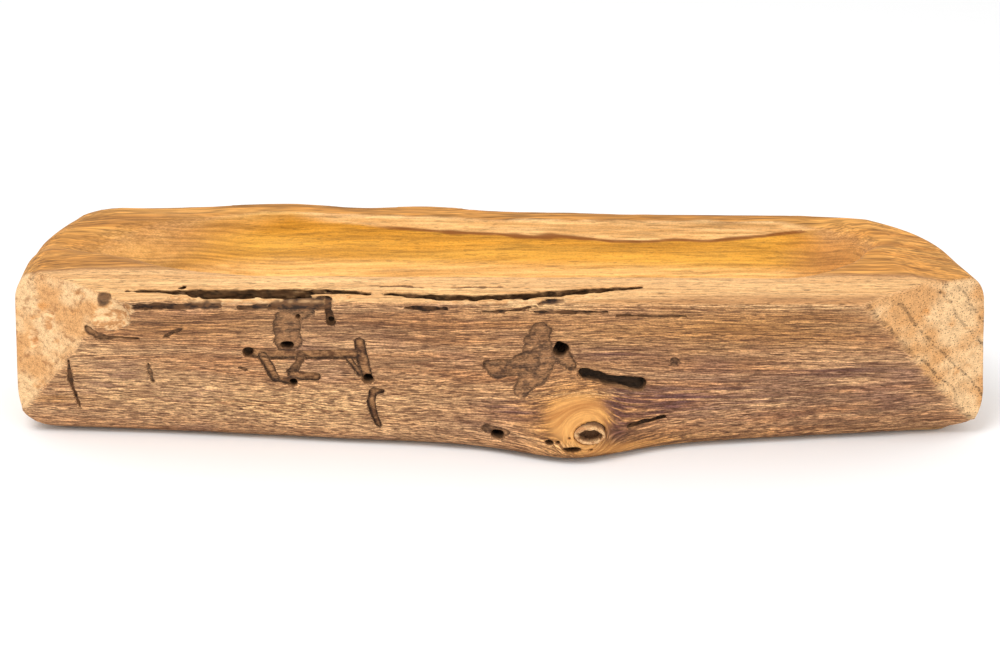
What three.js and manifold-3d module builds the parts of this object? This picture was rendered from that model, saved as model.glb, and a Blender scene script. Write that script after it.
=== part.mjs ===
// Incense burner carved from one length of natural log: a long shallow ash hollow in the top, a
// flat sawn base, a planed band along the front edge and a slanted facet at each end of it.
// Millimetres. +X along the log, +Z up, the front face looks along -Y. The origin is on the base,
// under the middle of the block.
import * as THREE from "three";
import { mergeVertices } from "three/addons/utils/BufferGeometryUtils.js";
import Module from "manifold-3d";

// Block
const LENGTH = 289; // end to end, before the right end is slanted
const LEFT_END = -143.7;
const HEIGHT = 52; // base to the top land
const TOP_RISE = 0.009; // the top land climbs this much per mm towards +X
const LEFT_FALL = { from: -118, slope: 0.07 }; // and falls away near each end
const RIGHT_FALL = { from: 112, slope: 0.16 };
const STEPS = { along: 46, across: 9, up: 9 }; // facets of the log surface
const MARGIN = 8; // how far cutters reach past what they cut
const BAND_BLOCK = { thick: 60, tall: 20 }; // sizes of the blocks that plane the front
const FACET_BLOCK = { long: 160, thick: 60 };

// Front face: the log's own surface, leaning in towards the base
const FRONT_EDGE = { y: -38.6, skew: -0.0145 };
const FRONT_BASE_Y = -13.8; // where the face would meet the base, away from the knot
const SWELLING = { depth: 14.5, x: 19, left: 83, right: 56, z: 0, tall: 19 };
const KNOT_BULGE = { depth: 9.7, x: 21.5, left: 14.7, right: 14.7, z: 5, tall: 10 };

// Back face
const BACK_RIM = { y: 40.2, slope: -0.045 };
const BACK_LUMPS = [ // soft lumps of the back rim, outwards and upwards
  { depth: 3.2, rise: 1, x: -65, wide: 17 },
  { depth: 2.5, rise: 0.5, x: -24, wide: 11 },
];
const BACK_LEAN = { depth: 15, power: 1.8 };

// Ends
const LEFT_ROUND = { wide: 32, deep: 58 }; // quarter ellipse at the back left corner
const RIGHT_SLANT = { x: 145, y: -20, turn: 17 }; // straight end face, turned in degrees
const RIGHT_CORNER = { x: 118, y: 29.5, turn: 76.5 };
const CORNER_BLEND = { before: 1, after: 9 }; // from the corner line to the end face, in y
const OUTLINE_SIDE = 60; // how far the outline of the ends reaches in front of the block
const OUTLINE_BACK = 43; // and behind it
const END_ROUND = 9.6; // roundover of the end faces at the top and the base

// Planed band and end facets
const BAND = { ridge: -17.8, slope: 4.3 }; // where it leaves the top land, degrees downwards
const LEFT_FACET = { x: -107.8, y: -37.1, turn: 38.6, lean: 0.14 }; // lean: outwards per mm down
const RIGHT_FACET = { x: 101.8, y: -40.2, turn: 35.5, lean: 0.12 };

// Ash hollow
const HOLLOW = { left: -112, right: 108.5, depth: 23 };
const HOLLOW_CAP = { left: 48, right: 28 }; // lengths of its rounded ends, gentler at the left
const HOLLOW_HALF = { middle: 23.4, slope: -0.02 }; // half its width, by x
const HOLLOW_MIDDLE = { y: 5.6, slope: -0.033 }; // its centre line, by x
const HOLLOW_STEPS = { cap: 8, round: 32, straight: 8 }; // facets of its surface

// Stick socket, a brass bush in the floor of the hollow
const BUSH = { x: -74, wide: 8, tall: 9, flange: 11, lip: 1.5, bore: 3, boreDeep: 7.5 };
const BUSH_EDGE = 0.5; // chamfer of the flange
const BUSH_SUNK = 0.1; // how far the underside of the flange is let into the floor
const FIT_GAP = 0.3;

// Dead branch in the knot: a separate core of wood with a rotten heart
const CORE = { x: 26, z: 9.4, proud: 0.6, wide: 9.6, flat: 0.7, taper: 0.8, deep: 22, rise: 14 };
const CORE_DOME = { start: 0.6, inset: 1, share: 0.7 }; // the rounded rim of its outer end
const CORE_HEART = { wide: 5.2, root: 2, flat: 0.62, deep: 9 };

// Beetle galleries and bores in the front face: places along it as [x, z], widths across
const GALLERIES = [
  { wide: 3, route: [[-64, 48.5], [-50, 48.5], [-48.5, 42.5]] },
  { wide: 8, sink: 2.8, route: [[-61, 44], [-61.5, 35]] },
  { wide: 3.4, route: [[-74, 31], [-40, 31]] },
  { wide: 3.6, route: [[-40.5, 35.5], [-38.5, 23]] },
  { wide: 3, route: [[-69, 29.5], [-65.5, 22], [-61, 21.5], [-53, 23]] },
  { wide: 2.6, route: [[-36, 19], [-38, 16], [-37, 11], [-35.5, 7]] },
  { wide: 3.8, route: [[24, 26.5], [32, 24.5], [42, 22.5]] },
  { wide: 2, sink: 0.6, route: [[-5, 47.5], [5, 47.5], [18, 49.5]] },
];
const BORES = [
  { x: 17.5, z: 34, wide: 5, deep: 14 },
  { x: -61.5, z: 34, wide: 4, deep: 12 },
  { x: -38.5, z: 22.5, wide: 3.6, deep: 12 },
  { x: -60.5, z: 20.5, wide: 2.8, deep: 9 },
  { x: -1.5, z: 7, wide: 3.6, deep: 9 },
];

// Ring shakes: long thin splits in the band, as [x, y] on it
const SHAKES = [
  { wide: 3.6, route: [[-91, -31], [-72, -31.5], [-54, -31.5], [-38, -32.4]] },
  { wide: 3.6, route: [[-30, -33], [-20, -35], [-9, -35.4], [14, -32.4], [38, -28.8]] },
];
const EDGE_BORE = { x: -114.3, z: 50, wide: 4, deep: 4 };

const WOOD = { color: 0xb98a5a, roughness: 0.72, metalness: 0 };
const DEAD_WOOD = { color: 0x9a6a3f, roughness: 0.8, metalness: 0 };
const BRASS = { color: 0xb5914c, roughness: 0.38, metalness: 1 };

const wasm = await Module();
wasm.setup();

const radians = THREE.MathUtils.degToRad;

function toSolid(geometry) {
  const bare = geometry.index ? geometry.toNonIndexed() : geometry.clone();
  bare.deleteAttribute("normal");
  bare.deleteAttribute("uv");
  const merged = mergeVertices(bare, 1e-4);
  return new wasm.Manifold(
    new wasm.Mesh({
      numProp: 3,
      vertProperties: new Float32Array(merged.attributes.position.array),
      triVerts: new Uint32Array(merged.index.array),
    }),
  );
}

function toGeometry(solid) {
  const mesh = solid.getMesh();
  const geometry = new THREE.BufferGeometry();
  geometry.setAttribute("position", new THREE.BufferAttribute(mesh.vertProperties, 3));
  geometry.setIndex(new THREE.BufferAttribute(mesh.triVerts, 1));
  geometry.computeVertexNormals();
  return geometry;
}

// Moves every vertex of a geometry with a rule that takes and gives [x, y, z].
function reshape(geometry, rule) {
  const place = geometry.attributes.position;
  for (let i = 0; i < place.count; i += 1) {
    place.setXYZ(i, ...rule(place.getX(i), place.getY(i), place.getZ(i)));
  }
  return geometry;
}

function bell(distance, width) {
  return Math.exp(-0.5 * (distance / width) ** 2);
}

function bulge(lump, x, z) {
  const side = x < lump.x ? lump.left : lump.right;
  return lump.depth * bell(x - lump.x, side) * bell(z - lump.z, lump.tall);
}

function topHeight(x) {
  const rise = TOP_RISE * Math.max(x, 0);
  const rightFall = RIGHT_FALL.slope * Math.max(x - RIGHT_FALL.from, 0);
  const leftFall = LEFT_FALL.slope * Math.max(LEFT_FALL.from - x, 0);
  let lumps = 0;
  for (const lump of BACK_LUMPS) lumps += lump.rise * bell(x - lump.x, lump.wide);
  return HEIGHT + rise + lumps - rightFall - leftFall;
}

function frontFace(x, z) {
  const edge = FRONT_EDGE.y + FRONT_EDGE.skew * x;
  const lean = (FRONT_BASE_Y - FRONT_EDGE.y) * (1 - z / HEIGHT);
  return edge + lean - bulge(SWELLING, x, z) - bulge(KNOT_BULGE, x, z);
}

function backFace(x, z) {
  let rim = BACK_RIM.y + BACK_RIM.slope * (x + 126);
  for (const lump of BACK_LUMPS) rim += lump.depth * bell(x - lump.x, lump.wide);
  return rim - BACK_LEAN.depth * Math.max(1 - z / HEIGHT, 0) ** BACK_LEAN.power;
}

function hollowHalf(x) {
  return HOLLOW_HALF.middle + HOLLOW_HALF.slope * x;
}

function hollowMiddle(x) {
  return HOLLOW_MIDDLE.y + HOLLOW_MIDDLE.slope * x;
}

// The block between the front and back faces, square at its ends.
function logBlock() {
  const box = new THREE.BoxGeometry(1, 1, 1, STEPS.along, STEPS.across, STEPS.up);
  return reshape(box, (u, v, w) => {
    const x = LEFT_END + LENGTH * (u + 0.5);
    const z = topHeight(x) * (w + 0.5);
    const front = frontFace(x, z);
    return [x, front + (backFace(x, z) - front) * (v + 0.5), z];
  });
}

// The block's outline from above: a straight left end that rounds into the back, and a slanted
// right end with a cut corner. Its front and back sides lie clear of the block.
function endsOutline() {
  const outline = new THREE.Shape();
  outline.moveTo(LEFT_END, -OUTLINE_SIDE);
  outline.lineTo(LEFT_END, 0);
  const { wide, deep } = LEFT_ROUND;
  outline.absellipse(LEFT_END + wide, 0, wide, deep, Math.PI, Math.PI / 2, true);
  const slant = (line, y) => line.x - (y - line.y) * Math.tan(radians(line.turn));
  const corner = RIGHT_CORNER.y + CORNER_BLEND.before;
  const end = RIGHT_CORNER.y - CORNER_BLEND.after;
  outline.lineTo(slant(RIGHT_CORNER, OUTLINE_BACK), OUTLINE_BACK);
  outline.lineTo(slant(RIGHT_CORNER, corner), corner);
  outline.lineTo(slant(RIGHT_SLANT, end), end);
  outline.lineTo(slant(RIGHT_SLANT, -OUTLINE_SIDE), -OUTLINE_SIDE);
  return outline;
}

function endsCutter() {
  const outline = new THREE.ExtrudeGeometry(endsOutline(), {
    depth: HEIGHT - 2 * END_ROUND,
    bevelThickness: END_ROUND,
    bevelSize: END_ROUND,
    bevelOffset: -END_ROUND,
    bevelSegments: 4,
    curveSegments: 10,
  });
  outline.translate(0, 0, END_ROUND);
  return reshape(outline, (x, y, z) => [x, y, (z * topHeight(x)) / HEIGHT]);
}

// Everything in front of the planed band's plane.
function bandCutter() {
  const box = new THREE.BoxGeometry(LENGTH + 2 * MARGIN, BAND_BLOCK.thick, BAND_BLOCK.tall);
  box.translate(0, -BAND_BLOCK.thick / 2, BAND_BLOCK.tall / 2);
  box.rotateX(radians(BAND.slope));
  return box.translate(0, BAND.ridge, HEIGHT);
}

// Everything outside an end facet; side is -1 for the left end and 1 for the right.
function facetCutter(facet, side) {
  const box = new THREE.BoxGeometry(FACET_BLOCK.long, FACET_BLOCK.thick, HEIGHT + 2 * MARGIN);
  box.translate(0, -FACET_BLOCK.thick / 2, HEIGHT / 2);
  reshape(box, (x, y, z) => [x, y - facet.lean * (HEIGHT - z), z]);
  box.rotateZ(side * radians(facet.turn));
  return box.translate(facet.x, facet.y, 0);
}

// The x of a point of a capsule whose straight part is 2 long: the straight part is stretched
// between the hollow's rounded ends, and each end to its own length.
function hollowPlace(along, radius) {
  const start = HOLLOW.left + HOLLOW_CAP.left;
  const stop = HOLLOW.right - HOLLOW_CAP.right;
  if (along < -1) return start + ((along + 1) * HOLLOW_CAP.left) / radius;
  if (along > 1) return stop + ((along - 1) * HOLLOW_CAP.right) / radius;
  return start + ((along + 1) * (stop - start)) / 2;
}

// A capsule along X, stretched to the hollow's length, width, depth and slight taper.
function hollowCutter() {
  const radius = HOLLOW_HALF.middle;
  const { cap, round, straight } = HOLLOW_STEPS;
  const capsule = new THREE.CapsuleGeometry(radius, 2, cap, round, straight);
  capsule.rotateZ(Math.PI / 2);
  return reshape(capsule, (along, across, up) => {
    const x = hollowPlace(along, radius);
    const y = hollowMiddle(x) + (across * hollowHalf(x)) / radius;
    return [x, y, HEIGHT + (up * HOLLOW.depth) / radius];
  });
}

// A round groove from one point to the next.
function grooveCutter(from, to, wide) {
  const way = to.clone().sub(from);
  const capsule = new THREE.CapsuleGeometry(wide / 2, way.length(), 3, 8, 1);
  const turn = new THREE.Quaternion();
  turn.setFromUnitVectors(new THREE.Vector3(0, 1, 0), way.clone().normalize());
  capsule.applyQuaternion(turn);
  const middle = from.clone().add(to).multiplyScalar(0.5);
  return capsule.translate(middle.x, middle.y, middle.z);
}

function routeCutters(points, wide) {
  return points.slice(1).map((point, i) => grooveCutter(points[i], point, wide));
}

function onFront([x, z], sink) {
  return new THREE.Vector3(x, frontFace(x, z) - sink, z);
}

function onBand([x, y]) {
  return new THREE.Vector3(x, y, HEIGHT + (y - BAND.ridge) * Math.tan(radians(BAND.slope)));
}

function galleryCutters() {
  return GALLERIES.flatMap((gallery) => {
    const points = gallery.route.map((place) => onFront(place, gallery.sink ?? 0));
    return routeCutters(points, gallery.wide);
  });
}

function shakeCutters() {
  return SHAKES.flatMap((shake) => routeCutters(shake.route.map(onBand), shake.wide));
}

// A bore that runs straight back into the wood.
function boreCutter(bore, y) {
  const hole = new THREE.CylinderGeometry(bore.wide / 2, bore.wide / 2, 2 * bore.deep, 12);
  return hole.translate(bore.x, y, bore.z);
}

function boreCutters() {
  const inFace = BORES.map((bore) => boreCutter(bore, frontFace(bore.x, bore.z)));
  const edgeY = LEFT_FACET.y - (EDGE_BORE.x - LEFT_FACET.x) * Math.tan(radians(LEFT_FACET.turn));
  return [...inFace, boreCutter(EDGE_BORE, edgeY)];
}

// Turned profile of the bush: a plain barrel under a flange, with the blind bore from the top.
function bushProfile(gap) {
  const barrel = BUSH.wide / 2 + gap;
  const flange = BUSH.flange / 2 + gap;
  const top = BUSH.lip + (gap ? MARGIN : 0);
  const bottom = BUSH.lip - BUSH.tall - gap;
  const shared = [[0, bottom], [barrel, bottom], [barrel, -gap], [flange, -gap]];
  if (gap) return [...shared, [flange, top], [0, top]];
  const bore = BUSH.bore / 2;
  const edge = [[flange, top - BUSH_EDGE], [flange - BUSH_EDGE, top]];
  edge.push([bore + BUSH_EDGE, top], [bore, top - BUSH_EDGE]);
  return [...shared, ...edge, [bore, top - BUSH.boreDeep], [0, top - BUSH.boreDeep]];
}

function turned(profile, sides) {
  const points = profile.map(([radius, height]) => new THREE.Vector2(radius, height));
  return new THREE.LatheGeometry(points, sides).rotateX(Math.PI / 2);
}

function bushSeat() {
  const floor = HEIGHT - HOLLOW.depth;
  return new THREE.Vector3(BUSH.x, hollowMiddle(BUSH.x), floor - BUSH_SUNK);
}

function bushGeometry(gap) {
  const seat = bushSeat();
  return turned(bushProfile(gap), 24).translate(seat.x, seat.y, seat.z);
}

// The branch core: a taper that runs back and up into the log, domed where it shows.
function coreProfile(gap) {
  const mouth = CORE.wide / 2 + gap;
  const root = (CORE.wide * CORE.taper) / 2 + gap;
  if (gap) return [[0, -CORE.deep - gap], [root, -CORE.deep - gap], [mouth, MARGIN], [0, MARGIN]];
  return [
    [0, -CORE.deep],
    [root, -CORE.deep],
    [mouth, -CORE_DOME.start],
    [mouth - CORE_DOME.inset, CORE.proud * CORE_DOME.share],
    [0, CORE.proud],
  ];
}

function coreGeometry(gap) {
  const core = turned(coreProfile(gap), 20);
  return placeCore(core.scale(1, CORE.flat, 1));
}

function placeCore(geometry) {
  geometry.rotateX(Math.PI / 2 + radians(CORE.rise));
  return geometry.translate(CORE.x, frontFace(CORE.x, CORE.z), CORE.z);
}

function heartCutter() {
  const heart = new THREE.CylinderGeometry(
    CORE_HEART.wide / 2,
    CORE_HEART.root / 2,
    CORE_HEART.deep,
    12,
  );
  heart.rotateX(Math.PI / 2);
  heart.scale(1, CORE_HEART.flat, 1);
  heart.translate(0, 0, CORE.proud + 1 - CORE_HEART.deep / 2);
  return placeCore(heart);
}

function carvedBody() {
  let body = toSolid(logBlock()).intersect(toSolid(endsCutter()));
  const cutters = [
    bandCutter(),
    facetCutter(LEFT_FACET, -1),
    facetCutter(RIGHT_FACET, 1),
    hollowCutter(),
    ...galleryCutters(),
    ...boreCutters(),
    ...shakeCutters(),
    bushGeometry(FIT_GAP),
    coreGeometry(FIT_GAP),
  ];
  for (const cutter of cutters) body = body.subtract(toSolid(cutter));
  return toGeometry(body);
}

function knotCore() {
  return toGeometry(toSolid(coreGeometry(0)).subtract(toSolid(heartCutter())));
}

function piece(name, geometry, finish) {
  const mesh = new THREE.Mesh(geometry, new THREE.MeshStandardMaterial(finish));
  mesh.name = name;
  return mesh;
}

const burner = new THREE.Group();
burner.add(piece("carved_body", carvedBody(), WOOD));
burner.add(piece("stick_socket", bushGeometry(0), BRASS));
burner.add(piece("knot_core", knotCore(), DEAD_WOOD));

export default burner;
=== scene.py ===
"""Incense burner carved from a natural log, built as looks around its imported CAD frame.

The log is sculpted as a signed distance field in millimetres and skinned with surface nets.
+X runs along the log, +Z is up and the log's natural front face looks along -Y.
"""

import math
from types import SimpleNamespace as Named

import bpy
import numpy as np
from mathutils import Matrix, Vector


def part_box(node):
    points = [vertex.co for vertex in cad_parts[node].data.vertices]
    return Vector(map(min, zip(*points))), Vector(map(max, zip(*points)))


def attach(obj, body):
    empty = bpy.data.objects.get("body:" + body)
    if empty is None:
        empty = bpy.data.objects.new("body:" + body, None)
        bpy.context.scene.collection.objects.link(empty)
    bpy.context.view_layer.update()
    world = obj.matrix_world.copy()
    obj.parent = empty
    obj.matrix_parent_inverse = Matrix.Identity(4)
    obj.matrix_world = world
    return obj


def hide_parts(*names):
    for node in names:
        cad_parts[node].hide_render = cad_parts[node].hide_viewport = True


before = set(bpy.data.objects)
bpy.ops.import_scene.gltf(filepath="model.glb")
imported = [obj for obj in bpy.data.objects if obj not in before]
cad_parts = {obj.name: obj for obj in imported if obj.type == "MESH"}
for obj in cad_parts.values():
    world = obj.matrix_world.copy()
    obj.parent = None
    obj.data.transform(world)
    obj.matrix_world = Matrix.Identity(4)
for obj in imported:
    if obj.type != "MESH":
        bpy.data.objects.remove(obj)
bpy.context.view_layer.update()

MM = 0.001
GRID = 0.5  # spacing of the sculpting grid

# Block; its ends come from the CAD frame
BODY_LOW, BODY_HIGH = (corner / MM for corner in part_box("carved_body"))
LEFT_END = BODY_LOW.x
HEIGHT = 52  # base to the top land at the middle
TOP_RISE = 0.009
LEFT_FALL = (-118, 0.07)  # where the top land starts to fall away, and its slope
RIGHT_FALL = (112, 0.16)

# Front and back faces: the log's own surface
FRONT_EDGE_Y, FRONT_SKEW = -38.6, -0.0145
FRONT_BASE_Y = -13.8
FRONT_LEAN = math.atan2(FRONT_BASE_Y - FRONT_EDGE_Y, HEIGHT)
SWELLING = Named(depth=14.5, x=19, left=83, right=56, z=0, tall=19)
KNOT_BULGE = Named(depth=9.7, x=21.5, left=14.7, right=14.7, z=5, tall=10)
BACK_RIM_X, BACK_RIM_Y, BACK_SLOPE = -126, 40.2, -0.045
BACK_LUMPS = ((3.2, 1, -65, 17), (2.5, 0.5, -24, 11))  # outwards, upwards, x, width
BACK_LEAN_DEPTH, BACK_LEAN_POWER = 15, 1.8
BACK_SQUARE = 0.96  # turns a distance along Y into one square to the leaning back

# Ends
LEFT_ROUND_WIDE, LEFT_ROUND_DEEP = 32, 58
RIGHT_SLANT = Named(x=145.4, y=-20, turn=17)
RIGHT_CORNER = Named(x=118, y=29.5, turn=76.5)
LEFT_ROUNDOVER, RIGHT_ROUNDOVER, BASE_ROUNDOVER = 10.2, 6.8, 14.5

# How softly one face passes into the next
SIDES_BLEND, FOOT_BLEND, ENDS_BLEND, CORNER_BLEND = 1, 5, 1.6, 14
LEFT_FACET_BLEND, RIGHT_FACET_BLEND = 1, 0.9

# Planed band and sanded facets
BAND_RIDGE_Y, BAND_RIDGE_SKEW, BAND_SLOPE = -17.8, -0.006, 4.3
BAND_TINT_Y, BAND_TINT_SKEW = -18.4, -0.025  # the line behind which the top looks unplaned
LEFT_FACET = Named(x=-107.8, y=-37.1, turn=38.6, lean=0.14)
RIGHT_FACET = Named(x=101.8, y=-40.2, turn=35.5, lean=0.12)

# Ash hollow
HOLLOW_LEFT, HOLLOW_RIGHT, HOLLOW_DEPTH = -112, 108.5, 23
HOLLOW_LEFT_CAP, HOLLOW_RIGHT_CAP = 48, 28  # lengths of its rounded ends
HOLLOW_HALF, HOLLOW_HALF_SLOPE = 23.4, -0.02
HOLLOW_MIDDLE, HOLLOW_MIDDLE_SLOPE = 5.6, -0.033
RIM_RADIUS = 1.6
SOFTER_RIM = Named(front=3.5, left=18, right=9)  # what it gains in front and at the ends

# Knot with its dead branch
KNOT_X, KNOT_Z, KNOT_RADIUS = 25, 9.5, 7
BRANCH_LOW, BRANCH_HIGH = (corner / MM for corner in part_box("knot_core"))
BRANCH = Named(x=26, z=9.4, outer_y=BRANCH_LOW.y, inner_y=BRANCH_HIGH.y)
BRANCH.radius, BRANCH.taper, BRANCH.length = 4.6, 0.8, 22
BRANCH.rise, BRANCH.flat = math.radians(14), 0.66

# Brass socket for an incense stick
SOCKET_LOW, SOCKET_HIGH = (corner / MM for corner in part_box("stick_socket"))
SOCKET = Named(low=SOCKET_LOW.z, high=SOCKET_HIGH.z, shelf=SOCKET_HIGH.z - 1.5)
SOCKET.x, SOCKET.y = 0.5 * (SOCKET_LOW.x + SOCKET_HIGH.x), 0.5 * (SOCKET_LOW.y + SOCKET_HIGH.y)
SOCKET.flange, SOCKET.radius = 0.5 * (SOCKET_HIGH.x - SOCKET_LOW.x), 4
SOCKET.bore, SOCKET.bore_depth = 1.5, 7.5


def clip01(value):
    return np.clip(value, 0, 1)


def smooth_step(low, high, value):
    t = clip01((value - low) / (high - low))
    return t * t * (3 - 2 * t)


def bell(distance, width):
    return np.exp(-0.5 * (distance / width) ** 2)


def smooth_max(a, b, radius):
    """The greater of a and b, rounded where they are within radius of each other."""
    near = np.maximum(radius - np.abs(a - b), 0)
    return np.maximum(a, b) + near * near * 0.25 / radius


def round_max(a, b, radius):
    """The greater of a and b with a true arc of the given radius between them."""
    reach = np.hypot(np.maximum(a + radius, 0), np.maximum(b + radius, 0))
    return np.minimum(np.maximum(a, b), -radius) + reach


# ---------------- noise

LATTICE = 64
FINER, FINER_SHARE = 2.03, 0.5
_lattices = {}


def lattice(seed):
    if seed not in _lattices:
        values = np.random.default_rng(seed).uniform(-1, 1, LATTICE**3)
        _lattices[seed] = values.astype(np.float32)
    return _lattices[seed]


def noise(x, y, z, seed):
    """Smooth value noise between -1 and 1 with a feature size of one unit."""
    table = lattice(seed)
    rows, parts = [], []
    for place, stride in zip((x, y, z), (LATTICE * LATTICE, LATTICE, 1)):
        low = np.floor(place)
        cell = low.astype(np.int32) % LATTICE
        rows.append((cell * stride, (cell + 1) % LATTICE * stride))
        part = (place - low).astype(np.float32)
        parts.append(part * part * (3 - 2 * part))
    total = 0
    for i in (0, 1):
        across = 0
        for j in (0, 1):
            start = rows[0][i] + rows[1][j]
            near = table[start + rows[2][0]]
            far = table[start + rows[2][1]]
            value = near + (far - near) * parts[2]
            across = across + value * (parts[1] if j else 1 - parts[1])
        total = total + across * (parts[0] if i else 1 - parts[0])
    return total


def layered_noise(x, y, z, seed):
    """Noise with finer, weaker noise on top."""
    coarse = noise(x, y, z, seed)
    return coarse + FINER_SHARE * noise(x * FINER, y * FINER, z * FINER, seed + 1)


# ---------------- the log's shape


def top_height(x):
    rise = TOP_RISE * np.maximum(x, 0)
    right = RIGHT_FALL[1] * np.maximum(x - RIGHT_FALL[0], 0)
    left = LEFT_FALL[1] * np.maximum(LEFT_FALL[0] - x, 0)
    lumps = sum(upwards * bell(x - place, width) for _, upwards, place, width in BACK_LUMPS)
    return HEIGHT + rise + lumps - right - left


def bulge(lump, x, z):
    side = np.where(x < lump.x, lump.left, lump.right)
    return lump.depth * bell(x - lump.x, side) * bell(z - lump.z, lump.tall)


def front_face(x, z):
    edge = FRONT_EDGE_Y + FRONT_SKEW * x
    lean = (FRONT_BASE_Y - FRONT_EDGE_Y) * (1 - z / HEIGHT)
    return edge + lean - bulge(SWELLING, x, z) - bulge(KNOT_BULGE, x, z)


def back_face(x, z):
    rim = BACK_RIM_Y + BACK_SLOPE * (x - BACK_RIM_X)
    for outwards, _, place, width in BACK_LUMPS:
        rim = rim + outwards * bell(x - place, width)
    below = np.maximum(1 - z / HEIGHT, 0)
    return rim - BACK_LEAN_DEPTH * below**BACK_LEAN_POWER


def band_height(x, y):
    ridge = BAND_RIDGE_Y + BAND_RIDGE_SKEW * x
    return HEIGHT + (y - ridge) * math.tan(math.radians(BAND_SLOPE))


def upright_plane(line, x, y):
    """Distance outside an upright plane whose outward side is turned from +X towards +Y."""
    turn = math.radians(line.turn)
    return (x - line.x) * math.cos(turn) + (y - line.y) * math.sin(turn)


def facet_plane(facet, x, y, z, side):
    """Distance outside an end facet; its line in plan is turned from X by the facet's angle."""
    turn = math.radians(facet.turn)
    upright = side * (x - facet.x) * math.sin(turn) - (y - facet.y) * math.cos(turn)
    return upright - facet.lean * (HEIGHT - z)


def hollow_field(x, y, z):
    """Negative inside the ash hollow."""
    half = HOLLOW_HALF + HOLLOW_HALF_SLOPE * x
    middle = HOLLOW_MIDDLE + HOLLOW_MIDDLE_SLOPE * x
    before = np.maximum(HOLLOW_LEFT + HOLLOW_LEFT_CAP - x, 0) / HOLLOW_LEFT_CAP
    after = np.maximum(x - HOLLOW_RIGHT + HOLLOW_RIGHT_CAP, 0) / HOLLOW_RIGHT_CAP
    along = (before + after) * HOLLOW_HALF
    across = (y - middle) * HOLLOW_HALF / half
    down = (z - HEIGHT) * HOLLOW_HALF / HOLLOW_DEPTH
    return np.sqrt(along * along + across * across + down * down) - HOLLOW_HALF


def outside_faces(x, y, z):
    """The signed distance outside each face of the block, by name."""
    corner_x = LEFT_END + LEFT_ROUND_WIDE
    wide = np.maximum(corner_x - x, 0) / LEFT_ROUND_WIDE
    deep = np.maximum(y, 0) / LEFT_ROUND_DEEP
    left = (np.hypot(wide, deep) - 1) * LEFT_ROUND_WIDE
    slant, corner = upright_plane(RIGHT_SLANT, x, y), upright_plane(RIGHT_CORNER, x, y)
    return Named(
        front=(front_face(x, z) - y) * math.cos(FRONT_LEAN),
        back=(y - back_face(x, z)) * BACK_SQUARE,
        base=-z + 0 * x,
        land=z - top_height(x),
        band=z - band_height(x, y),
        left_facet=facet_plane(LEFT_FACET, x, y, z, -1),
        right_facet=facet_plane(RIGHT_FACET, x, y, z, 1),
        left_end=left,
        right_end=smooth_max(slant, corner, CORNER_BLEND),
        hollow=-hollow_field(x, y, z),
    )


def block_field(x, y, z):
    """Signed distance to the carved block before its natural detail, negative in the wood."""
    face = outside_faces(x, y, z)
    log = smooth_max(face.front, face.back, SIDES_BLEND)
    log = smooth_max(log, face.base, FOOT_BLEND)
    top = np.maximum(face.land, face.band)
    left = round_max(face.left_end, top, LEFT_ROUNDOVER)
    right = round_max(face.right_end, top, RIGHT_ROUNDOVER)
    body = round_max(np.maximum(left, right), face.base, BASE_ROUNDOVER)
    body = smooth_max(body, log, ENDS_BLEND)
    body = smooth_max(body, face.left_facet, LEFT_FACET_BLEND)
    body = smooth_max(body, face.right_facet, RIGHT_FACET_BLEND)
    return smooth_max(body, face.hollow, hollow_lip(x, y))


def hollow_lip(x, y):
    """Radius of the hollow's rim: soft in front, and softest on the axis at its left end."""
    offset = y - HOLLOW_MIDDLE - HOLLOW_MIDDLE_SLOPE * x
    front = SOFTER_RIM.front * smooth_step(0, -16, offset) * smooth_step(104, 84, x)
    left = SOFTER_RIM.left * smooth_step(-70, -106, x) * bell(offset - 2, 9)
    right = SOFTER_RIM.right * smooth_step(84, 104, x) * smooth_step(-6, 6, offset)
    return RIM_RADIUS + np.maximum(front, left + right)


# ---------------- surface nets

CORNERS = [(i, j, k) for i in (0, 1) for j in (0, 1) for k in (0, 1)]
CELL_EDGES = [
    (a, b)
    for a in range(8)
    for b in range(a + 1, 8)
    if sum(abs(p - q) for p, q in zip(CORNERS[a], CORNERS[b])) == 1
]


def surface_nets(field, origin, step):
    """Vertices and outward quads of the field's zero surface."""
    inside = field < 0
    count = np.zeros([n - 1 for n in field.shape], np.int8)
    for corner in CORNERS:
        count += inside[tuple(slice(c, n - 1 + c) for c, n in zip(corner, field.shape))]
    cells = np.argwhere((count > 0) & (count < 8))
    values = [field[tuple((cells + corner).T)] for corner in CORNERS]
    total = np.zeros((len(cells), 3), np.float32)
    crossings = np.zeros(len(cells), np.float32)
    for a, b in CELL_EDGES:
        crossed = (values[a] < 0) != (values[b] < 0)
        share = np.where(crossed, values[a] / np.where(crossed, values[a] - values[b], 1), 0)
        start = np.array(CORNERS[a], np.float32)
        way = np.array(CORNERS[b], np.float32) - start
        total += np.where(crossed[:, None], start + share[:, None] * way, 0)
        crossings += crossed
    points = (cells + total / crossings[:, None]) * step + origin
    number = np.full(count.shape, -1, np.int32)
    number[tuple(cells.T)] = np.arange(len(cells), dtype=np.int32)
    return points, np.concatenate([axis_quads(inside, number, axis) for axis in range(3)])


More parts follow.
